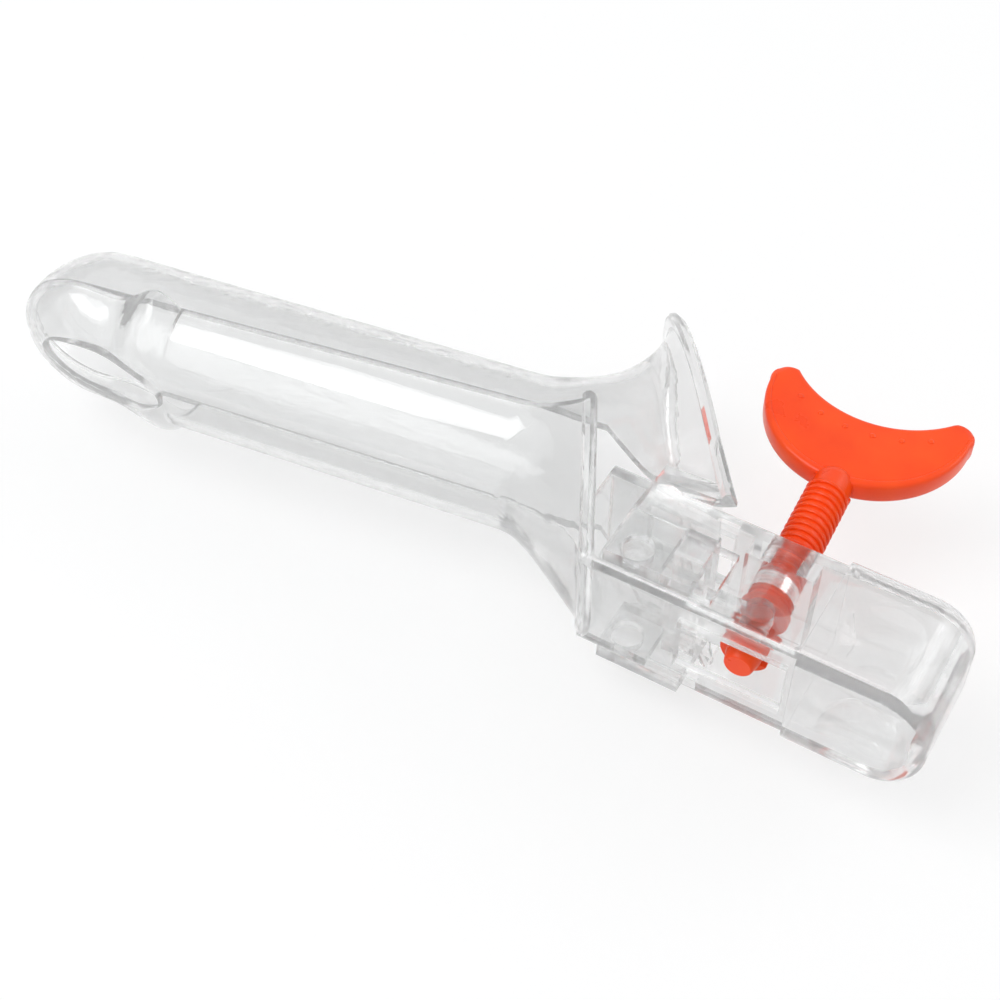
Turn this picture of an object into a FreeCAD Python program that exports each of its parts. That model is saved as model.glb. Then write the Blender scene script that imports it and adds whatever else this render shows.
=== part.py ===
import FreeCAD, Part
import math
import os
import Sketcher

Vector = FreeCAD.Vector
doc = FreeCAD.newDocument("bivalve_speculum")

# Driving sizes in millimetres and degrees. X runs back to the handle's end, Y is the opening
# direction of the blades, Z is across the object and up as it lies on its side.
SIZES = [
    ("wall", 1.9), ("seam_gap", 0.3), ("neck_half_width", 16), ("tip_half_width", 13.8),
    ("blade_straight", 92), ("tip_round", 15), ("underside_straight", 70),
    ("lower_depth", 12.4), ("lower_neck_depth", 13.2),
    ("upper_depth", 19.6), ("upper_neck_depth", 16.6),
    ("window_length", 29), ("window_width", 12.5), ("window_behind_tip", 24), ("window_slope", 18),
    ("flare_reach", 13.7), ("flare_half_width", 22), ("flare_depth", 31.7), ("flare_tilt", 19),
    ("lower_bead", 1.5),
    ("hood_reach", 37), ("hood_half_width", 23.8), ("hood_height", 48.5), ("hood_tilt", 25),
    ("hood_bead", 1.4), ("cheek_drop", 16),
    ("handle_front", 24), ("handle_top", 5), ("handle_bend", 9), ("handle_lead", 3),
    ("handle_length", 67.5), ("handle_depth", 23), ("handle_half_width", 12),
    ("grip_start", 43), ("grip_half_width", 13.2), ("grip_round", 9), ("grip_edge_round", 4),
    ("handle_wall", 2.3), ("lever_slot_half_width", 6.5), ("lever_slot_start", 21),
    ("pivot_back", 10), ("trunnion_radius", 3), ("running_clearance", 0.08),
    ("arm_thickness", 3), ("arm_gap", 0.5),
    ("crossbar_back", 9), ("crossbar_above", 5), ("crossbar_thick", 6),
    ("lever_half_width", 5.4), ("fork_radius", 2.7),
    ("dish_width", 15), ("dish_depth", 1.5), ("dish_back", 54.5), ("dish_below", 14),
    ("screw_x", 57.5), ("screw_y", 14.6), ("screw_tilt", 5.8),
    ("rod_radius", 3.85), ("thread_height", 0.5), ("rod_length", 33.6),
    ("flange_radius", 4.75), ("flange_thick", 1.6), ("neck_radius", 2.2), ("neck_length", 8.3),
    ("knob_radius", 3.3), ("knob_length", 3.0),
    ("crescent_span", 40.8), ("crescent_inner_span", 32), ("crescent_rise", 19.5), ("horn_rise", 24.4),
    ("crescent_hollow", 7.2), ("crescent_thick", 4.6),
    ("nut_block_half_length", 6.5), ("nut_block_depth", 6.5),
    ("keeper_radius", 4.6), ("keeper_thick", 2.2), ("keeper_mouth", 3.9), ("fork_play", 0.15),
    ("opening_angle", 20), ("handle_edge_round", 2), ("top_window_start", 5), ("top_window_length", 17),
    ("top_window_half_width", 6.5), ("cheek_step", 3.5), ("web_top", -3.5), ("lever_below", 2.4),
    ("lever_above", 0.6), ("fork_side_play", 0.25), ("fork_slot_front", 3.6), ("rod_into_crescent", 2),
    ("swing_play", 0.7), ("handle_chin", 10), ("handle_chin_back", 5.5), ("cheek_bend_back", 6),
    ("cheek_end_back", 18), ("cheek_bend_share", 0.7), ("window_cut_reach", 30), ("window_drop", 3),
    ("seam_leg", 3), ("lever_slot_end_wall", 1.5), ("arm_margin", 1.5), ("arm_overlap", 0.5),
    ("web_front_taper", 2.5), ("web_back_taper", 3), ("cheek_inset", 1.4), ("knob_end_radius", 2.5),
    ("horn_bulge", 0.27), ("horn_lift", 0.36), ("keeper_mouth_start", 0.1), ("keeper_mouth_past", 2),
]
sheet = doc.addObject("Spreadsheet::Sheet", "sizes")
for row, (alias, value) in enumerate(SIZES, start=1):
    sheet.set("A%d" % row, alias)
    sheet.set("B%d" % row, str(value))
    sheet.setAlias("B%d" % row, alias)
doc.recompute()


def size(alias):
    return float(sheet.get(alias))


# Curved valve walls. Each station is a tilted cross-section of a half tube: a half ellipse
# closed by two short legs that run past the seam.
WALL = size("wall")
LEG = size("seam_leg")
ARC_STEPS = 8
# Degrees round the closed tip, and shares of the flare's reach, at which the sections stand.
TIP_TURNS = (87, 76, 60, 40, 20, 0)
FLARE_PARTS = (0.0, 0.22, 0.45, 0.7, 1.0)
FLARE_EASING = 1.75
# Section of the rounded lip, along and out from the rim, in shares of the bead.
LIP_PROFILE = ((-1.0, 0.0), (-0.6, 0.7), (0.0, 1.0), (0.6, 0.7), (0.9, 0.0))


def station(x, tilt, half_width, depth, side, leg=LEG):
    lean = math.radians(tilt)
    start = Vector(x, 0, 0)
    out = Vector(math.sin(lean), side * math.cos(lean), 0)
    if side > 0:
        out.x = -out.x
    angles = [math.pi * i / ARC_STEPS for i in range(ARC_STEPS + 1)]
    points = [start + out * (depth * math.sin(t)) + Vector(0, 0, half_width * math.cos(t)) for t in angles]
    curve = Part.BSplineCurve()
    curve.interpolate(Points=points, Parameters=angles)
    foot_far = points[-1] - out * leg
    foot_near = points[0] - out * leg
    edges = [curve.toShape(), Part.makeLine(points[-1], foot_far), Part.makeLine(foot_far, foot_near),
             Part.makeLine(foot_near, points[0])]
    return Part.Wire(edges)


def eased(part):
    return part ** FLARE_EASING


def tip_stations(side, depth, depth_start, inset):
    straight = size("blade_straight")
    reach = straight + size("tip_round") - inset
    spots = [(straight + (size("tip_round") - inset) * math.sin(math.radians(turn)),
              math.cos(math.radians(turn))) for turn in TIP_TURNS]
    if depth_start < straight:
        spots += [(depth_start + (straight - depth_start) * part, 1.0) for part in (0.5, 0.0)]
    found = []
    for distance, closing in spots:
        taper = (straight - distance) / straight if distance < straight else 0
        half = size("tip_half_width") + (size("neck_half_width") - size("tip_half_width")) * taper
        share = max(0.0, (distance - depth_start) / (reach - depth_start))
        found.append(station(-distance, 0, (half - inset) * closing,
                             (depth - inset) * math.sqrt(1 - share * share), side))
    return found


def flare_stations(side, reach, tilt, half_width, neck_depth, depth, drop, inset):
    found = []
    for part in FLARE_PARTS:
        half = size("neck_half_width") + (half_width - size("neck_half_width")) * eased(part)
        deep = neck_depth + (depth - neck_depth) * eased(part)
        found.append(station(reach * part, tilt * part, half - inset, deep - inset, side, LEG + drop * part))
    return found


def rim_station(side, reach, tilt, half_width, depth, drop, beyond, grow):
    return station(reach + beyond, tilt, half_width + grow, depth + grow, side, LEG + drop)


def valve_shell(side, depth, depth_start, neck_depth, reach, tilt, half_width, flare_depth, drop, bead):
    pieces = []
    for inset in (0.0, WALL):
        tip = tip_stations(side, depth, depth_start, inset)
        flare = flare_stations(side, reach, tilt, half_width, neck_depth, flare_depth, drop, inset)
        closing = []
        if inset:
            closing = [rim_station(side, reach, tilt, half_width, flare_depth, drop, bead, bead * 0.5 - WALL)]
        pieces.append((Part.makeLoft(tip, True), Part.makeLoft([tip[-1], flare[0]], True, True),
                       Part.makeLoft(flare + closing, True)))
    lips = [rim_station(side, reach, tilt, half_width, flare_depth, drop, bead * beyond, bead * grow)
            for beyond, grow in LIP_PROFILE]
    lip = Part.makeLoft(lips, True, True)
    outer, inner = pieces
    shell = outer[0].fuse([outer[1], outer[2], lip])
    hollow = inner[0].fuse([inner[1], inner[2]])
    return shell.cut(hollow), hollow


def prism(points, half_width):
    corners = [Vector(x, y, -half_width) for x, y in points]
    face = Part.Face(Part.makePolygon(corners + corners[:1]))
    return face.extrude(Vector(0, 0, 2 * half_width))


# A cutter runs FAR through everything, or PAST the face that it opens. JOIN is the overlap of
# two shapes that become one.
FAR = 150.0
PAST = 1.0
JOIN = 2.0
HALF_GAP = size("seam_gap") / 2

# The handle's own frame: X back along it, Y = 0 on its upper face, leaning down from the blades.
handle_frame = FreeCAD.Placement(Vector(size("handle_front"), -size("handle_top"), 0),
                                 FreeCAD.Rotation(Vector(0, 0, 1), -size("handle_bend")))
# The screw's own frame: Y up along its axis, Y = 0 where the rod meets the crescent.
screw_frame = FreeCAD.Placement(Vector(size("screw_x"), size("screw_y"), 0),
                                FreeCAD.Rotation(Vector(0, 0, 1), -size("screw_tilt")))
fork_down = size("rod_length") + size("flange_thick") + size("fork_play") + size("fork_radius")
fork_at = handle_frame.inverse().multVec(screw_frame.multVec(Vector(0, -fork_down, 0)))
swing_half = size("opening_angle") / 2
pivot_at = Vector(size("pivot_back"), fork_at.y - (fork_at.x - size("pivot_back"))
                  * math.tan(math.radians(swing_half)), 0)


def brick(x0, x1, y0, y1, z0, z1):
    return Part.makeBox(x1 - x0, y1 - y0, z1 - z0, Vector(x0, y0, z0))


def rod_z(centre, radius, z0, z1):
    return Part.makeCylinder(radius, z1 - z0, Vector(centre.x, centre.y, z0), Vector(0, 0, 1))


def round_edges(solid, radius, wanted):
    return solid.makeFillet(radius, [edge for edge in solid.Edges if wanted(edge)])


def along(edge, axis):
    run = edge.Vertexes[-1].Point - edge.Vertexes[0].Point
    return run.Length > 0 and abs(abs(run.normalize().dot(axis)) - 1) < 1e-6


def in_frame(shape, frame):
    moved = shape.copy()
    moved.Placement = frame
    return moved


AXIS_X = Vector(1, 0, 0)
AXIS_Y = Vector(0, 1, 0)
end_x = size("handle_length")
low_y = -size("handle_depth")
side_z = size("handle_half_width")
grip_z = size("grip_half_width")
grip_x = size("grip_start")
skin = size("handle_wall")
swell = grip_z - side_z


def grip_block(inset, start):
    block = brick(start, end_x - inset, low_y - swell + inset, swell - inset, inset - grip_z, grip_z - inset)
    block = round_edges(block, size("grip_round") - inset,
                        lambda edge: along(edge, AXIS_Y) and edge.CenterOfMass.x > start + PAST)
    if inset == 0:
        block = round_edges(block, size("grip_edge_round"), lambda edge: edge.CenterOfMass.x > start + PAST
                            and not along(edge, AXIS_Y) and abs(edge.CenterOfMass.y - low_y / 2) > -low_y / 2)
    return block


# Handle of the lower valve: a channel open at its front end, with a rounded grip behind it.
front = brick(-size("handle_lead"), grip_x + JOIN, low_y, 0, -side_z, side_z)
front = round_edges(front, size("handle_edge_round"), lambda edge: along(edge, AXIS_X))
handle = front.fuse(grip_block(0, grip_x))
channel = brick(-FAR, grip_x + JOIN, low_y + skin, -skin, skin - side_z, side_z - skin)
cavity = grip_block(skin + swell, grip_x - PAST)
lever_slot_z = size("lever_slot_half_width")
lever_slot = brick(size("lever_slot_start"), grip_x - size("lever_slot_end_wall"), low_y - PAST,
                   low_y + skin + PAST, -lever_slot_z, lever_slot_z)
bar_x0 = pivot_at.x + size("crossbar_back") - size("crossbar_thick") / 2
bar_x1 = bar_x0 + size("crossbar_thick")
bar_y0 = pivot_at.y + size("crossbar_above") - size("crossbar_thick") / 2
bar_y1 = bar_y0 + size("crossbar_thick")
swing = math.radians(size("opening_angle"))
play = size("swing_play")
side_window = brick(bar_x0 - play, bar_x1 + (bar_y1 - pivot_at.y) * math.sin(swing) + play,
                    bar_y0 - (bar_x1 - pivot_at.x) * math.sin(swing) - play, bar_y1 + play, -FAR, FAR)
top_window = brick(size("top_window_start"), size("top_window_start") + size("top_window_length"),
                   -skin - PAST, PAST, -size("top_window_half_width"), size("top_window_half_width"))
bearing = rod_z(pivot_at, size("trunnion_radius") + size("running_clearance"), -FAR, FAR)
dishes = []
for face_z in (-grip_z, grip_z):
    dish_radius = ((size("dish_width") / 2) ** 2 + size("dish_depth") ** 2) / (2 * size("dish_depth"))
    outward = dish_radius - size("dish_depth")
    bowl = Part.makeSphere(dish_radius)
    bowl.translate(Vector(size("dish_back"), -size("dish_below"), face_z + math.copysign(outward, face_z)))
    dishes.append(bowl)
chin = prism([(-size("handle_lead") - PAST, low_y + size("handle_chin")),
              (size("handle_chin_back") - size("handle_lead"), low_y - PAST),
              (-size("handle_lead") - PAST, low_y - PAST)], FAR)
handle = handle.cut([channel, cavity, lever_slot, side_window, top_window, bearing, chin] + dishes)
nut_block = brick(fork_at.x - size("nut_block_half_length"), fork_at.x + size("nut_block_half_length"),
                  -size("nut_block_depth"), -skin / 2, -side_z + skin / 2, side_z - skin / 2)
handle = in_frame(handle.fuse(nut_block), handle_frame)

# Bore for the screw through the handle's top wall and the solid block under it.
screw_down = screw_frame.Rotation.multVec(Vector(0, -1, 0))
bore = Part.makeCylinder(size("rod_radius") + size("thread_height") + size("running_clearance"),
                         fork_down - size("fork_radius"), screw_frame.multVec(Vector(0, 0, 0)), screw_down)

lower_shell, lower_hollow = valve_shell(
    -1, size("lower_depth"), size("underside_straight"), size("lower_neck_depth"), size("flare_reach"),
    size("flare_tilt"), size("flare_half_width"), size("flare_depth"), 0.0, size("lower_bead"))
above_seam = prism([(-FAR, -HALF_GAP), (FAR, -HALF_GAP), (FAR, FAR), (-FAR, FAR)], FAR)
oval = Part.Ellipse(Vector(0, 0, 0), size("window_length") / 2, size("window_width") / 2)
tip_window = Part.Face(Part.Wire(oval.toShape())).extrude(Vector(0, 0, size("window_cut_reach")))
tip_window.Placement = FreeCAD.Placement(
    Vector(-size("blade_straight") - size("tip_round") + size("window_behind_tip"), -size("window_drop"), 0),
    FreeCAD.Rotation(Vector(0, 0, 1), -size("window_slope")).multiply(FreeCAD.Rotation(AXIS_X, 90)))
shell = lower_shell.cut([above_seam, tip_window])
handle = handle.cut(lower_hollow)
lower = shell.fuse(handle).cut(bore)

# Upper valve: shell and hood, with arms down to the pivot and the lever inside the handle.
upper_shell, _ = valve_shell(
    1, size("upper_depth"), size("blade_straight"), size("upper_neck_depth"), size("hood_reach"),
    size("hood_tilt"), size("hood_half_width"), size("hood_height"), size("cheek_drop"), size("hood_bead"))
cheek_low = -size("cheek_drop")
below_seam = prism([(-FAR, HALF_GAP), (size("flare_reach") + size("cheek_step"), HALF_GAP),
                    (size("handle_front") + size("cheek_bend_back"), cheek_low * size("cheek_bend_share")),
                    (size("handle_front") + size("cheek_end_back"), cheek_low),
                    (FAR, cheek_low), (FAR, -FAR), (-FAR, -FAR)], FAR)
shell = upper_shell.cut(below_seam)
arm_in = side_z + size("arm_gap")
arm_out = arm_in + size("arm_thickness")
arm_x0 = pivot_at.x - size("trunnion_radius") - size("arm_margin")
arm_x1 = bar_x1
arm_top = bar_y1 - size("arm_overlap")
cheek_in = size("hood_half_width") - WALL - size("cheek_inset")
cheek_out = cheek_in + size("arm_thickness")


def rectangle(x0, x1, y, z0, z1):
    return Part.makePolygon([Vector(x0, y, z0), Vector(x1, y, z0), Vector(x1, y, z1), Vector(x0, y, z1),
                             Vector(x0, y, z0)])


moving = []
for side in (-1, 1):
    plate = brick(arm_x0, arm_x1, pivot_at.y - size("trunnion_radius") - size("arm_margin"), arm_top,
                  min(side * arm_in, side * arm_out), max(side * arm_in, side * arm_out))
    web_foot = rectangle(arm_x0, arm_x1, arm_top - size("arm_overlap"), side * arm_in, side * arm_out)
    web_head = rectangle(arm_x0 + size("web_front_taper"), arm_x1 - size("web_back_taper"),
                         size("web_top"), side * cheek_in, side * cheek_out)
    web = Part.makeLoft([web_foot, web_head], True, True)
    trunnion = rod_z(pivot_at, size("trunnion_radius"), min(side * (side_z - skin), side * arm_out),
                     max(side * (side_z - skin), side * arm_out))
    moving += [plate, web, trunnion]
moving.append(brick(bar_x0, bar_x1, bar_y0, bar_y1, -arm_out, arm_out))
tine = size("lever_half_width")
lever = brick(bar_x0, fork_at.x, fork_at.y - size("lever_below"), fork_at.y + size("lever_above"), -tine, tine)
barrel = rod_z(fork_at, size("fork_radius"), -tine, tine)
fork_gap = size("neck_radius") + size("fork_side_play")
fork_slot = brick(fork_at.x - size("fork_slot_front"), fork_at.x + size("fork_radius") + PAST,
                  -FAR, FAR, -fork_gap, fork_gap)
inner_works = lever.fuse([barrel] + moving).cut(fork_slot)
inner_works = in_frame(inner_works, handle_frame)
upper = shell.fuse(inner_works)

lower_item = doc.addObject("Part::Feature", "lower_valve")
lower_item.Shape = lower
lower_item.Label = "lower_valve"
upper_item = doc.addObject("Part::Feature", "upper_valve")
upper_item.Shape = upper
upper_item.Label = "upper_valve"


def plane_of(body, role):
    return [item for item in body.Origin.OriginFeatures if item.Role == role][0]


def new_sketch(body, name, role):
    sketch = body.newObject("Sketcher::SketchObject", name)
    sketch.AttachmentSupport = [(plane_of(body, role), "")]
    sketch.MapMode = "FlatFace"
    return sketch


def hold(sketch, kind, *refs_and_text):
    refs = refs_and_text[:-2]
    start, text = refs_and_text[-2:]
    index = sketch.addConstraint(Sketcher.Constraint(kind, *refs, start))
    sketch.setExpression("Constraints[%d]" % index, text)


def polygon_profile(sketch, corners):
    points = [Vector(float(x0), float(y0), 0) for x0, y0, _, _ in corners]
    count = len(points)
    for i in range(count):
        sketch.addGeometry(Part.LineSegment(points[i], points[(i + 1) % count]), False)
    for i in range(count):
        sketch.addConstraint(Sketcher.Constraint("Coincident", i, 2, (i + 1) % count, 1))
    for i, (_, _, x_text, y_text) in enumerate(corners):
        if x_text == "0":
            sketch.addConstraint(Sketcher.Constraint("PointOnObject", i, 1, -2))
        else:
            hold(sketch, "DistanceX", -1, 1, i, 1, points[i].x, x_text)
        hold(sketch, "DistanceY", -1, 1, i, 1, points[i].y, y_text)


# Thumb screw: rod, flange, neck and knob turned about Y, and a crescent padded across Z.
screw = doc.addObject("PartDesign::Body", "thumb_screw")
screw.Label = "thumb_screw"
turned = new_sketch(screw, "rod_profile", "XY_Plane")
flange_top = size("rod_length")
neck_top = flange_top + size("flange_thick")
knob_top = neck_top + size("neck_length")
knob_end = knob_top + size("knob_length")
into_crescent = size("rod_into_crescent")
flange_depth = "-(sizes.rod_length)"
neck_depth = "-(sizes.rod_length + sizes.flange_thick)"
knob_depth = "-(sizes.rod_length + sizes.flange_thick + sizes.neck_length)"
end_depth = "-(sizes.rod_length + sizes.flange_thick + sizes.neck_length + sizes.knob_length)"
polygon_profile(turned, [
    (0, into_crescent, "0", "sizes.rod_into_crescent"),
    (size("rod_radius"), into_crescent, "sizes.rod_radius", "sizes.rod_into_crescent"),
    (size("rod_radius"), -flange_top, "sizes.rod_radius", flange_depth),
    (size("flange_radius"), -flange_top, "sizes.flange_radius", flange_depth),
    (size("flange_radius"), -neck_top, "sizes.flange_radius", neck_depth),
    (size("neck_radius"), -neck_top, "sizes.neck_radius", neck_depth),
    (size("neck_radius"), -knob_top, "sizes.neck_radius", knob_depth),
    (size("knob_radius"), -knob_top, "sizes.knob_radius", knob_depth),
    (size("knob_end_radius"), -knob_end, "sizes.knob_end_radius", end_depth),
    (0, -knob_end, "0", end_depth)])
spun = screw.newObject("PartDesign::Revolution", "rod")
spun.Profile = turned
spun.ReferenceAxis = (turned, ["V_Axis"])
spun.Angle = 360
doc.recompute()

moon = new_sketch(screw, "crescent_outline", "XY_Plane")
half = size("crescent_span") / 2
inner_half = size("crescent_inner_span") / 2
rise = size("crescent_rise")
hollow = size("crescent_hollow")
horn_rise = size("horn_rise")
hollow_low = horn_rise - hollow
outer_left = Vector(-half, rise, 0)
outer_right = Vector(half, rise, 0)
inner_left = Vector(-inner_half, horn_rise, 0)
inner_right = Vector(inner_half, horn_rise, 0)
horn_out = (half + inner_half) / 2 + (horn_rise - rise) * size("horn_bulge")
horn_up = (horn_rise + rise) / 2 + (half - inner_half) * size("horn_lift")
arcs = [(outer_left, Vector(0, 0, 0), outer_right),
        (outer_right, Vector(horn_out, horn_up, 0), inner_right),
        (inner_right, Vector(0, hollow_low, 0), inner_left),
        (inner_left, Vector(-horn_out, horn_up, 0), outer_left)]
for start, middle, finish in arcs:
    moon.addGeometry(Part.Arc(start, middle, finish), False)
pad = screw.newObject("PartDesign::Pad", "crescent")
pad.Profile = moon
pad.SideType = "Symmetric"
pad.setExpression("Length", "sizes.crescent_thick")
doc.recompute()
screw.Placement = screw_frame

# Keeper: a C-shaped clip around the screw's neck, under the fork.
keeper = doc.addObject("PartDesign::Body", "screw_keeper")
keeper.Label = "screw_keeper"
outline = new_sketch(keeper, "keeper_outline", "XZ_Plane")
keeper_bore = size("neck_radius") + size("running_clearance")
outline.addGeometry(Part.Circle(Vector(0, 0, 0), Vector(0, 0, 1), size("keeper_radius")), False)
outline.addGeometry(Part.Circle(Vector(0, 0, 0), Vector(0, 0, 1), keeper_bore), False)
outline.addConstraint(Sketcher.Constraint("Coincident", 0, 3, -1, 1))
outline.addConstraint(Sketcher.Constraint("Coincident", 1, 3, -1, 1))
hold(outline, "Radius", 0, size("keeper_radius"), "sizes.keeper_radius")
hold(outline, "Radius", 1, keeper_bore, "sizes.neck_radius + sizes.running_clearance")
ring = keeper.newObject("PartDesign::Pad", "keeper_ring")
ring.Profile = outline
ring.setExpression("Length", "sizes.keeper_thick")
doc.recompute()
mouth = new_sketch(keeper, "keeper_mouth_outline", "XZ_Plane")
mouth_x0 = size("keeper_mouth_start")
mouth_x1 = size("keeper_radius") + size("keeper_mouth_past")
mouth_half = size("keeper_mouth") / 2
mouth_end = "sizes.keeper_radius + sizes.keeper_mouth_past"
polygon_profile(mouth, [
    (mouth_x0, -mouth_half, "sizes.keeper_mouth_start", "-sizes.keeper_mouth / 2"),
    (mouth_x1, -mouth_half, mouth_end, "-sizes.keeper_mouth / 2"),
    (mouth_x1, mouth_half, mouth_end, "sizes.keeper_mouth / 2"),
    (mouth_x0, mouth_half, "sizes.keeper_mouth_start", "sizes.keeper_mouth / 2")])
gap = keeper.newObject("PartDesign::Pocket", "keeper_gap")
gap.Profile = mouth
gap.Type = "ThroughAll"
gap.SideType = "Symmetric"
doc.recompute()
keeper_top = fork_down + size("fork_radius") + size("fork_play")
box = keeper.Shape.BoundBox
keeper_place = FreeCAD.Placement(Vector(0, -keeper_top - box.YMax, 0), FreeCAD.Rotation())
keeper.Placement = screw_frame.multiply(keeper_place)

PIECES = ("lower_valve", "upper_valve", "thumb_screw", "screw_keeper")
doc.recompute()
for item in doc.Objects:
    if "Invalid" in item.State or "Error" in item.State:
        raise RuntimeError("%s did not build: %s" % (item.Label, item.State))
os.makedirs("parts", exist_ok=True)
for name in PIECES:
    piece = doc.getObjectsByLabel(name)[0]
    if piece.Shape.isNull() or not piece.Shape.isValid():
        raise RuntimeError("%s has no valid shape" % name)
    piece.Shape.exportStep("parts/%s.step" % name)
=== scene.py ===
import math
import bmesh
import bpy
from mathutils import Matrix, Vector
from mathutils.bvhtree import BVHTree


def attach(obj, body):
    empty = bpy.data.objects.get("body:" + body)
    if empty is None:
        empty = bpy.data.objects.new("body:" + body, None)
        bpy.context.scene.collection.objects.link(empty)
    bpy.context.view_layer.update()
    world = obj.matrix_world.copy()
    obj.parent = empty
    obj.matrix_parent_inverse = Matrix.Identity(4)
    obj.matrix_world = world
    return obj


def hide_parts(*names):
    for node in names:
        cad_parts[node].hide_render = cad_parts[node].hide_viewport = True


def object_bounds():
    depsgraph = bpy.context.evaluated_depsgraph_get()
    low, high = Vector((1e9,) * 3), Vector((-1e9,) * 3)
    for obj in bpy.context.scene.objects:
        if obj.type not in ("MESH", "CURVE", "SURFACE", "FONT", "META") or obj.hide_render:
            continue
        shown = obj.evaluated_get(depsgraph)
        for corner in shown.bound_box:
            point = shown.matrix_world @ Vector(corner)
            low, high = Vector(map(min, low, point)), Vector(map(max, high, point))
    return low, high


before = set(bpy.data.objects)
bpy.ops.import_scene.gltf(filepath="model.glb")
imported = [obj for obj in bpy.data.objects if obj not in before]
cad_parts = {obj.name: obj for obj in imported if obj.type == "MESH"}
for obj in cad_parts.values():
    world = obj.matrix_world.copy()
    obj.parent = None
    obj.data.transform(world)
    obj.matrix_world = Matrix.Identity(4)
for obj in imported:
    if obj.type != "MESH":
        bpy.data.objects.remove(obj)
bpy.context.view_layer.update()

# Valves: the lower blade with its handle, and the upper blade with its hood and lever. Both are moulded
# in clear polystyrene, polished, with faint flow waviness and a fine haze left by the mould.
# The real hood is narrower and lower at its rim than the solid, so it is drawn in here.
MM = 0.001
weld_distance = 0.002
valve_crease = 20
hood_narrower = 0.15
hood_lower = 0.042
flare_start = 4
flare_length = 16
arm_foot = -17
arm_rise = 10


def clear_plastic():
    material = bpy.data.materials.new("clear_polystyrene")
    material.use_nodes = True
    nodes = material.node_tree.nodes
    links = material.node_tree.links
    shader = nodes["Principled BSDF"]
    shader.inputs["Base Color"].default_value = (0.89, 0.895, 0.895, 1)
    shader.inputs["Transmission Weight"].default_value = 1.0
    shader.inputs["IOR"].default_value = 1.47
    shader.inputs["Alpha"].default_value = 0.85
    place = nodes.new("ShaderNodeTexCoord")
    haze = nodes.new("ShaderNodeTexNoise")
    haze.inputs["Scale"].default_value = 60
    haze.inputs["Detail"].default_value = 4
    spread = nodes.new("ShaderNodeMapRange")
    spread.inputs["To Min"].default_value = 0.01
    spread.inputs["To Max"].default_value = 0.06
    flow = nodes.new("ShaderNodeTexNoise")
    flow.inputs["Scale"].default_value = 30
    flow.inputs["Detail"].default_value = 1
    ripple = nodes.new("ShaderNodeBump")
    ripple.inputs["Strength"].default_value = 0.04
    ripple.inputs["Distance"].default_value = 0.0004
    links.new(place.outputs["Object"], haze.inputs["Vector"])
    links.new(place.outputs["Object"], flow.inputs["Vector"])
    links.new(haze.outputs["Fac"], spread.inputs["Value"])
    links.new(spread.outputs["Result"], shader.inputs["Roughness"])
    links.new(flow.outputs["Fac"], ripple.inputs["Height"])
    links.new(ripple.outputs["Normal"], shader.inputs["Normal"])
    return material


def placed(name, data):
    piece = bpy.data.objects.new(name, data)
    bpy.context.scene.collection.objects.link(piece)
    return piece


def creased(shape, degrees):
    for face in shape.faces:
        face.smooth = True
    for edge in shape.edges:
        edge.smooth = edge.is_manifold and edge.calc_face_angle() < math.radians(degrees)


def polished_copy(node, name, degrees):
    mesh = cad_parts[node].data.copy()
    mesh.name = name
    mesh.materials.clear()
    shape = bmesh.new()
    shape.from_mesh(mesh)
    bmesh.ops.remove_doubles(shape, verts=shape.verts, dist=weld_distance * MM)
    creased(shape, degrees)
    shape.to_mesh(mesh)
    shape.free()
    return placed(name, mesh)


def eased(share):
    share = min(1.0, max(0.0, share))
    return share * share * (3 - 2 * share)


def draw_in_hood(piece):
    for vertex in piece.data.vertices:
        x, y, z = vertex.co / MM
        share = eased((x - flare_start) / flare_length) * eased((y - arm_foot) / arm_rise)
        vertex.co = Vector((x, y - max(y, 0) * hood_lower * share, z - z * hood_narrower * share)) * MM


clear = clear_plastic()
for node, name, body in (("lower_valve", "lower_valve_moulding", "handle"),
                         ("upper_valve", "upper_valve_moulding", "upper")):
    valve = polished_copy(node, name, valve_crease)
    if node == "upper_valve":
        draw_in_hood(valve)
    polish = valve.modifiers.new("polish", "WEIGHTED_NORMAL")
    polish.keep_sharp = True
    valve.data.materials.append(clear)
    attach(valve, body)
    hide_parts(node)

# Size bar: one plain raised bar moulded on the hood near its rim, where such an instrument is marked.
# It is seated on the hood's own surface and carries no sign.
bar_near = (17, 36, -8)
bar_size = (5.0, 0.9, 0.7)
bar_round = 0.2
bar_round_steps = 3
hood = bpy.data.objects["upper_valve_moulding"]
surface = BVHTree.FromPolygons([vertex.co for vertex in hood.data.vertices],
                               [polygon.vertices for polygon in hood.data.polygons])
bar_seat, bar_normal, _, _ = surface.find_nearest(Vector(bar_near) * MM)
bar = bmesh.new()
bmesh.ops.create_cube(bar, size=1)
bmesh.ops.scale(bar, verts=bar.verts, vec=Vector(bar_size) * MM)
bmesh.ops.bevel(bar, geom=bar.edges, offset=bar_round * MM, segments=bar_round_steps, affect="EDGES")
bar.transform(Matrix.Translation(bar_seat) @ bar_normal.to_track_quat("Z", "Y").to_matrix().to_4x4())
bar_mesh = bpy.data.meshes.new("size_bar")
bar.to_mesh(bar_mesh)
bar.free()
bar_mesh.materials.append(clear)
size_bar = placed("size_bar", bar_mesh)
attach(size_bar, "upper")

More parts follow.
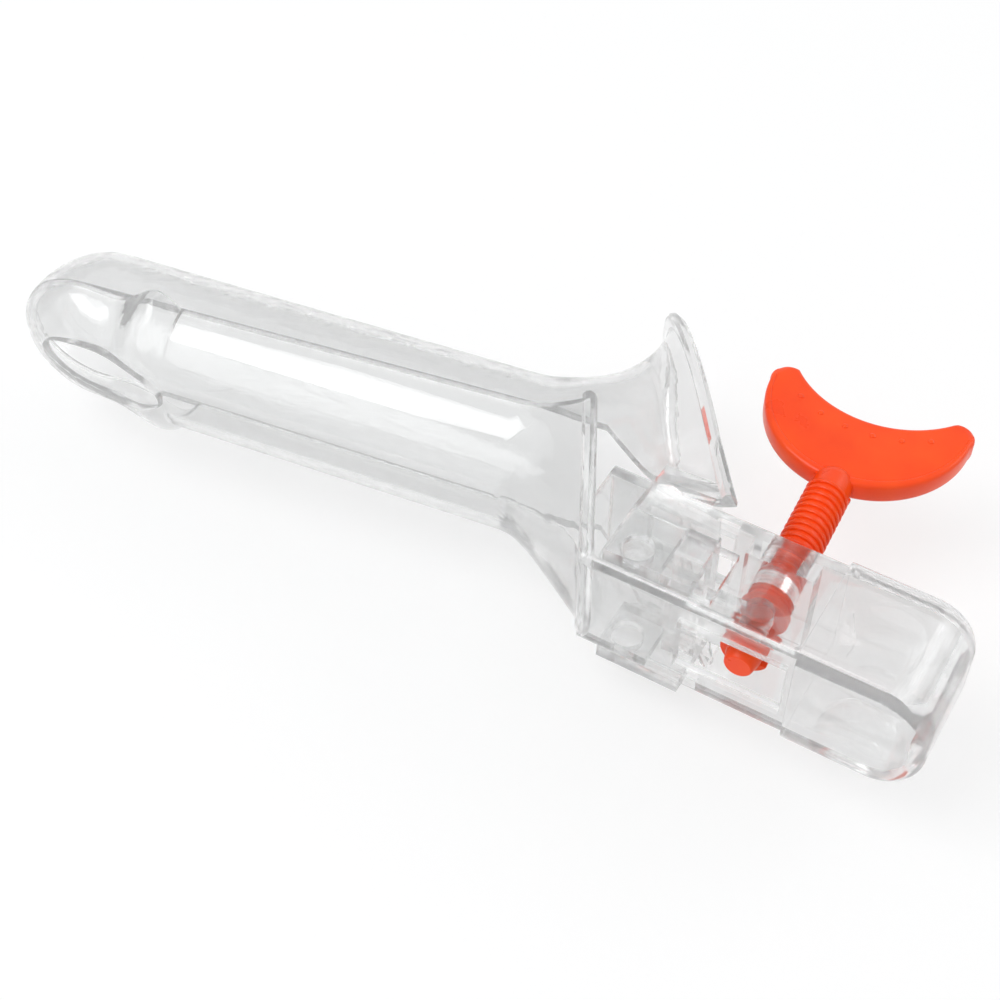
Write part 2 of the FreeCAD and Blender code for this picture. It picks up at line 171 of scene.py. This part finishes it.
# Crescent of the thumb screw: a flat plate for the thumb, moulded in orange nylon in one with its rod.
# Its edges are rounded and a low rim follows the convex side. The screw's own frame has Y up the rod,
# with its origin at the foot of the crescent.
screw_foot = (57.5, 14.6, 0)
screw_lean = -5.8
outer_half = 20.4
inner_half = 16.0
tip_height = 19.5
horn_out = 19.52
horn_up = 23.53
horn_height = 24.4
hollow_low = 17.2
horn_steps = 24
horn_middle = 12
bow_steps = 96
dip_steps = 72
stations = 150
plate_half = 2.3
face_height = 2.05
edge_height = 1.4
full_width = 6.0
least_width = 0.001
horn_weld = 0.02
crescent_crease = 40
screw_frame = Matrix.Translation(Vector(screw_foot) * MM) @ Matrix.Rotation(math.radians(screw_lean), 4, "Z")


def orange_plastic():
    material = bpy.data.materials.new("orange_nylon")
    material.use_nodes = True
    nodes = material.node_tree.nodes
    links = material.node_tree.links
    shader = nodes["Principled BSDF"]
    shader.inputs["Specular IOR Level"].default_value = 0.35
    shader.inputs["Subsurface Weight"].default_value = 0.08
    shader.inputs["Subsurface Radius"].default_value = (0.004, 0.0012, 0.0003)
    place = nodes.new("ShaderNodeTexCoord")
    cloud = nodes.new("ShaderNodeTexNoise")
    cloud.inputs["Scale"].default_value = 90
    cloud.inputs["Detail"].default_value = 5
    tint = nodes.new("ShaderNodeValToRGB")
    tint.color_ramp.elements[0].position = 0.3
    tint.color_ramp.elements[0].color = (0.9, 0.055, 0.002, 1)
    tint.color_ramp.elements[1].position = 0.75
    tint.color_ramp.elements[1].color = (0.97, 0.085, 0.004, 1)
    gloss = nodes.new("ShaderNodeMapRange")
    gloss.inputs["To Min"].default_value = 0.22
    gloss.inputs["To Max"].default_value = 0.38
    grain = nodes.new("ShaderNodeTexNoise")
    grain.inputs["Scale"].default_value = 1400
    fine = nodes.new("ShaderNodeBump")
    fine.inputs["Strength"].default_value = 0.08
    fine.inputs["Distance"].default_value = 0.0002
    links.new(place.outputs["Object"], cloud.inputs["Vector"])
    links.new(place.outputs["Object"], grain.inputs["Vector"])
    links.new(cloud.outputs["Fac"], tint.inputs["Fac"])
    links.new(tint.outputs["Color"], shader.inputs["Base Color"])
    links.new(cloud.outputs["Fac"], gloss.inputs["Value"])
    links.new(gloss.outputs["Result"], shader.inputs["Roughness"])
    links.new(grain.outputs["Fac"], fine.inputs["Height"])
    links.new(fine.outputs["Normal"], shader.inputs["Normal"])
    return material


def on_screw(name, mesh):
    piece = placed(name, mesh)
    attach(piece, "screw")
    return piece


def moulded(name, shape, degrees):
    bmesh.ops.recalc_face_normals(shape, faces=shape.faces)
    creased(shape, degrees)
    mesh = bpy.data.meshes.new(name)
    shape.to_mesh(mesh)
    shape.free()
    mesh.materials.append(orange)
    return on_screw(name, mesh)


def arc_points(start, middle, finish, count):
    ax, ay = start
    bx, by = middle
    cx, cy = finish
    area = 2 * (ax * (by - cy) + bx * (cy - ay) + cx * (ay - by))
    a_square = ax**2 + ay**2
    b_square = bx**2 + by**2
    c_square = cx**2 + cy**2
    ux = (a_square * (by - cy) + b_square * (cy - ay) + c_square * (ay - by)) / area
    uy = (a_square * (cx - bx) + b_square * (ax - cx) + c_square * (bx - ax)) / area
    radius = math.hypot(ax - ux, ay - uy)
    first = math.atan2(ay - uy, ax - ux)
    last = math.atan2(cy - uy, cx - ux)
    via = math.atan2(by - uy, bx - ux)
    sweep = (last - first) % math.tau
    if (via - first) % math.tau > sweep:
        sweep -= math.tau
    turns = [first + sweep * i / count for i in range(count)]
    return [(ux + radius * math.cos(turn), uy + radius * math.sin(turn)) for turn in turns]


def horn_points(side):
    return arc_points((side * outer_half, tip_height), (side * horn_out, horn_up),
                      (side * inner_half, horn_height), horn_steps)


def evenly(path, count):
    lengths = [0.0]
    for near, far in zip(path, path[1:]):
        lengths.append(lengths[-1] + math.dist(near, far))
    found = []
    step = 0
    for i in range(count + 1):
        wanted = lengths[-1] * i / count
        while step < len(path) - 2 and lengths[step + 1] < wanted:
            step += 1
        share = (wanted - lengths[step]) / (lengths[step + 1] - lengths[step])
        found.append(tuple(a + (b - a) * share for a, b in zip(path[step], path[step + 1])))
    return found


orange = orange_plastic()
left_horn = horn_points(-1)
right_horn = horn_points(1)
bow = arc_points((-outer_half, tip_height), (0, 0), (outer_half, tip_height), bow_steps)
dip = arc_points((-inner_half, horn_height), (0, hollow_low), (inner_half, horn_height), dip_steps)
convex = left_horn[horn_middle::-1] + bow[1:] + right_horn[:horn_middle + 1]
hollow = left_horn[horn_middle:] + dip + right_horn[:horn_middle - 1:-1]
# Across the plate: how far in, from the convex edge (0) or the hollow edge (1), and how high.
across = ((0.0, 0, edge_height), (0.15, 0, 1.85), (0.45, 0, 2.15), (0.9, 0, plate_half),
          (1.5, 0, plate_half), (1.7, 0, 2.2), (1.85, 0, face_height), (0.95, 1, face_height),
          (0.45, 1, 1.95), (0.15, 1, 1.75), (0.0, 1, edge_height))
crescent = bmesh.new()
rings = []
for outer_point, inner_point in zip(evenly(convex, stations), evenly(hollow, stations)):
    width = max(math.dist(outer_point, inner_point), least_width)
    fade = min(1.0, width / full_width)
    ring = []
    for side in (1, -1):
        for inward, from_hollow, height in across[::side]:
            share = inward * fade / width
            share = 1 - share if from_hollow else share
            x, y = (a + (b - a) * share for a, b in zip(outer_point, inner_point))
            level = edge_height + (height - edge_height) * fade
            ring.append(crescent.verts.new(Vector((x, y, side * level)) * MM))
    rings.append(ring)
for left_ring, right_ring in zip(rings, rings[1:]):
    for i in range(len(left_ring)):
        j = (i + 1) % len(left_ring)
        crescent.faces.new((left_ring[i], left_ring[j], right_ring[j], right_ring[i]))
bmesh.ops.remove_doubles(crescent, verts=crescent.verts, dist=horn_weld * MM)
crescent.transform(screw_frame)
moulded("thumb_crescent", crescent, crescent_crease)

# Rod of the thumb screw: a round bar under the crescent, in the same moulding. Below the thread a
# collar, a thin neck and a knob hold it in the lever's fork.
rod_radius = 3.85
rod_length = 33.6
collar_radius = 4.75
collar_low = rod_length + 1.6
neck_radius = 2.2
neck_low = collar_low + 8.3
knob_radius = 3.3
knob_low = neck_low + 3.0
edge_round = 0.15
rod_crease = 35
around = 56
profile = [(0, 3.4), (1.4, 3.25), (2.6, 2.75), (3.4, 1.9), (rod_radius, 0.6), (rod_radius, -rod_length),
           (collar_radius - edge_round, -rod_length), (collar_radius, -rod_length - edge_round),
           (collar_radius, edge_round - collar_low), (collar_radius - edge_round, -collar_low),
           (neck_radius + edge_round, -collar_low), (neck_radius, -collar_low - 0.2),
           (neck_radius, -neck_low), (knob_radius - edge_round, -neck_low),
           (knob_radius, -neck_low - 0.2), (3.22, -neck_low - 0.5), (2.65, 0.25 - knob_low),
           (2.4, -knob_low), (0, -knob_low)]
rod = bmesh.new()
rings = []
for radius, height in profile:
    if radius == 0:
        rings.append([rod.verts.new(Vector((0, height, 0)) * MM)])
    else:
        turns = [math.tau * i / around for i in range(around)]
        rings.append([rod.verts.new(Vector((radius * math.cos(turn), height, radius * math.sin(turn))) * MM)
                      for turn in turns])
for upper_ring, lower_ring in zip(rings, rings[1:]):
    for i in range(around):
        j = (i + 1) % around
        corners = [upper_ring[i % len(upper_ring)], upper_ring[j % len(upper_ring)],
                   lower_ring[j % len(lower_ring)], lower_ring[i % len(lower_ring)]]
        rod.faces.new(list(dict.fromkeys(corners)))
rod.transform(screw_frame)
rod_piece = moulded("screw_rod", rod, rod_crease)
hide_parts("thumb_screw")

# Thread of the thumb screw: one rounded ridge that winds down the rod, moulded with it.
# It stops just short of the collar and runs out below the crescent.
thread_pitch = 1.6
thread_start = 1.6
thread_length = 30.8
thread_height = 0.48


def begun_tree(name, inputs):
    tree = bpy.data.node_groups.new(name, "GeometryNodeTree")
    tree.interface.new_socket("Geometry", in_out="OUTPUT", socket_type="NodeSocketGeometry")
    for label, kind in inputs:
        tree.interface.new_socket(label, in_out="INPUT", socket_type=kind)
    tree.interface.new_socket("Material", in_out="INPUT", socket_type="NodeSocketMaterial")
    return tree, tree.nodes.new("NodeGroupInput")


def ended_tree(tree, given, made):
    real = tree.nodes.new("GeometryNodeRealizeInstances")
    paint = tree.nodes.new("GeometryNodeSetMaterial")
    result = tree.nodes.new("NodeGroupOutput")
    tree.links.new(made, real.inputs["Geometry"])
    tree.links.new(real.outputs["Geometry"], paint.inputs["Geometry"])
    tree.links.new(given.outputs["Material"], paint.inputs["Material"])
    tree.links.new(paint.outputs["Geometry"], result.inputs["Geometry"])
    return tree


def thread_tree():
    tree, given = begun_tree("screw_thread", [
        ("Turns", "NodeSocketFloat"), ("Radius", "NodeSocketFloat"),
        ("Length", "NodeSocketFloat"), ("Ridge", "NodeSocketFloat")])
    helix = tree.nodes.new("GeometryNodeCurveSpiral")
    helix.inputs["Resolution"].default_value = 40
    ridge = tree.nodes.new("GeometryNodeCurvePrimitiveCircle")
    ridge.inputs["Resolution"].default_value = 6
    wind = tree.nodes.new("GeometryNodeCurveToMesh")
    wind.inputs["Fill Caps"].default_value = True
    tree.links.new(given.outputs["Turns"], helix.inputs["Rotations"])
    tree.links.new(given.outputs["Radius"], helix.inputs["Start Radius"])
    tree.links.new(given.outputs["Radius"], helix.inputs["End Radius"])
    tree.links.new(given.outputs["Length"], helix.inputs["Height"])
    tree.links.new(given.outputs["Ridge"], ridge.inputs["Radius"])
    tree.links.new(helix.outputs["Curve"], wind.inputs["Curve"])
    tree.links.new(ridge.outputs["Curve"], wind.inputs["Profile Curve"])
    return ended_tree(tree, given, wind.outputs["Mesh"])


def grown(name, tree, settings):
    holder = placed(name + "_holder", bpy.data.meshes.new(name + "_seed"))
    modifier = holder.modifiers.new("grow", "NODES")
    modifier.node_group = tree
    for socket in tree.interface.items_tree:
        if socket.in_out == "INPUT":
            modifier[socket.identifier] = settings[socket.name]
    holder.update_tag()
    graph = bpy.context.evaluated_depsgraph_get()
    mesh = bpy.data.meshes.new_from_object(holder.evaluated_get(graph))
    bpy.data.objects.remove(holder)
    mesh.name = name
    for polygon in mesh.polygons:
        polygon.use_smooth = True
    return mesh


thread_mesh = grown("screw_thread", thread_tree(), {
    "Turns": thread_length / thread_pitch, "Radius": rod_radius * MM, "Length": thread_length * MM,
    "Ridge": thread_height * MM, "Material": orange})
stand = Matrix.Translation(Vector((0, -thread_start, 0)) * MM) @ Matrix.Rotation(math.radians(90), 4, "X")
thread_mesh.transform(screw_frame @ stand)
on_screw("screw_thread", thread_mesh)

# Grip dots: a row of low raised dots on both faces of the crescent, moulded with it.
# They follow the hollow edge, a few millimetres in from it.
dot_count = 6
dot_radius = 0.6
dot_flatness = 0.4
dot_arc_centre = 38.6
dot_arc_radius = 24.9
dot_arc_start = -122
dot_arc_sweep = 64


def dots_tree():
    tree, given = begun_tree("grip_dots", [
        ("Count", "NodeSocketInt"), ("Arc Radius", "NodeSocketFloat"), ("Start", "NodeSocketFloat"),
        ("Sweep", "NodeSocketFloat"), ("Dot Radius", "NodeSocketFloat")])
    arc = tree.nodes.new("GeometryNodeCurveArc")
    places = tree.nodes.new("GeometryNodeCurveToPoints")
    dot = tree.nodes.new("GeometryNodeMeshUVSphere")
    dot.inputs["Segments"].default_value = 18
    dot.inputs["Rings"].default_value = 10
    row = tree.nodes.new("GeometryNodeInstanceOnPoints")
    row.inputs["Scale"].default_value = (1, 1, dot_flatness)
    tree.links.new(given.outputs["Arc Radius"], arc.inputs["Radius"])
    tree.links.new(given.outputs["Start"], arc.inputs["Start Angle"])
    tree.links.new(given.outputs["Sweep"], arc.inputs["Sweep Angle"])
    tree.links.new(arc.outputs["Curve"], places.inputs["Curve"])
    tree.links.new(given.outputs["Count"], places.inputs["Count"])
    tree.links.new(given.outputs["Dot Radius"], dot.inputs["Radius"])
    tree.links.new(places.outputs["Points"], row.inputs["Points"])
    tree.links.new(dot.outputs["Mesh"], row.inputs["Instance"])
    return ended_tree(tree, given, row.outputs["Instances"])


for side, face_name in ((1, "upper"), (-1, "under")):
    dots_mesh = grown("grip_dots_" + face_name, dots_tree(), {
        "Count": dot_count, "Arc Radius": dot_arc_radius * MM, "Start": math.radians(dot_arc_start),
        "Sweep": math.radians(dot_arc_sweep), "Dot Radius": dot_radius * MM, "Material": orange})
    on_face = Matrix.Translation(Vector((0, dot_arc_centre, side * face_height)) * MM)
    dots_mesh.transform(screw_frame @ on_face)
    on_screw("grip_dots_" + face_name, dots_mesh)

# Keeper: the small C-shaped clip on the screw's neck, under the lever's fork.
# It is moulded in the same orange and stays where the fork can push it.
keeper_crease = 30
keeper = polished_copy("screw_keeper", "neck_keeper", keeper_crease)
keeper.data.materials.append(orange)
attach(keeper, "keeper")
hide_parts("screw_keeper")

# Floor and light: a plain white sheet under the part, a pale sky, and two soft lamps.
# The sheet reads as white to the camera and through the clear plastic, and keeps a faint shadow.
reach = 3.0
sheet_white_share = 0.7
sky_white_share = 1.0
lamp_width = 0.6
lamp_depth = lamp_width * 0.7
low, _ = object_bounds()
floor_mesh = bpy.data.meshes.new("floor")
floor_mesh.from_pydata([(-reach, -reach, low[2]), (reach, -reach, low[2]), (reach, reach, low[2]),
                        (-reach, reach, low[2])], [], [(0, 1, 2, 3)])
floor = placed("floor", floor_mesh)


def white_where_seen(tree, lit, white, result, share):
    path = tree.nodes.new("ShaderNodeLightPath")
    direct = tree.nodes.new("ShaderNodeMath")
    through = tree.nodes.new("ShaderNodeMath")
    through.use_clamp = True
    part = tree.nodes.new("ShaderNodeMath")
    part.operation = "MULTIPLY"
    part.inputs[1].default_value = share
    mix = tree.nodes.new("ShaderNodeMixShader")
    tree.links.new(path.outputs["Is Camera Ray"], direct.inputs[0])
    tree.links.new(path.outputs["Is Glossy Ray"], direct.inputs[1])
    tree.links.new(direct.outputs["Value"], through.inputs[0])
    tree.links.new(path.outputs["Is Transmission Ray"], through.inputs[1])
    tree.links.new(through.outputs["Value"], part.inputs[0])
    tree.links.new(part.outputs["Value"], mix.inputs["Fac"])
    tree.links.new(lit, mix.inputs[1])
    tree.links.new(white, mix.inputs[2])
    tree.links.new(mix.outputs["Shader"], result)


paper = bpy.data.materials.new("white_sheet")
paper.use_nodes = True
sheet = paper.node_tree
sheet.nodes["Principled BSDF"].inputs["Base Color"].default_value = (0.93, 0.93, 0.93, 1)
sheet.nodes["Principled BSDF"].inputs["Roughness"].default_value = 0.9
glow = sheet.nodes.new("ShaderNodeEmission")
white_where_seen(sheet, sheet.nodes["Principled BSDF"].outputs["BSDF"], glow.outputs["Emission"],
                 sheet.nodes["Material Output"].inputs["Surface"], sheet_white_share)
floor_mesh.materials.append(paper)

world = bpy.data.worlds.new("pale_sky")
bpy.context.scene.world = world
world.use_nodes = True
sky = world.node_tree
sky.nodes["Background"].inputs["Color"].default_value = (0.95, 0.96, 0.97, 1)
sky.nodes["Background"].inputs["Strength"].default_value = 0.7
backdrop = sky.nodes.new("ShaderNodeBackground")
white_where_seen(sky, sky.nodes["Background"].outputs["Background"], backdrop.outputs["Background"],
                 sky.nodes["World Output"].inputs["Surface"], sky_white_share)


def soft_lamp(name, place, watts):
    light = bpy.data.lights.new(name, "AREA")
    light.shape = "RECTANGLE"
    light.size = lamp_width
    light.size_y = lamp_depth
    light.energy = watts
    lamp = placed(name, light)
    lamp.location = place
    lamp.rotation_euler = (-Vector(place)).to_track_quat("-Z", "Y").to_euler()


soft_lamp("key", (-0.35, -0.25, 0.75), 3.5)
soft_lamp("fill", (0.6, 0.5, 0.5), 1.5)

# Camera: at the photograph's view, looking down on the part from in front and to one side.
# Its aim lies under the part, because the photograph's frame is not centred on it.
view_azimuth = math.radians(21.5)
view_elevation = math.radians(49.38)
view_distance = 0.42
view_aim = (-19.36, 39.67, -63.96)
camera_data = bpy.data.cameras.new("camera")
camera_data.sensor_width = 36
camera_data.lens = 64.8
camera_data.clip_start = 0.01
camera = placed("camera", camera_data)
back = Vector((math.sin(view_azimuth) * math.cos(view_elevation),
               -math.cos(view_azimuth) * math.cos(view_elevation), math.sin(view_elevation)))
right = Vector((math.cos(view_azimuth), math.sin(view_azimuth), 0))
upward = back.cross(right)
eye = Vector(view_aim) * MM + back * view_distance
turned = Matrix((right, upward, back)).transposed().to_4x4()
camera.matrix_world = Matrix.Translation(eye) @ turned
bpy.context.scene.camera = camera
bpy.context.scene.view_settings.view_transform = "Standard"
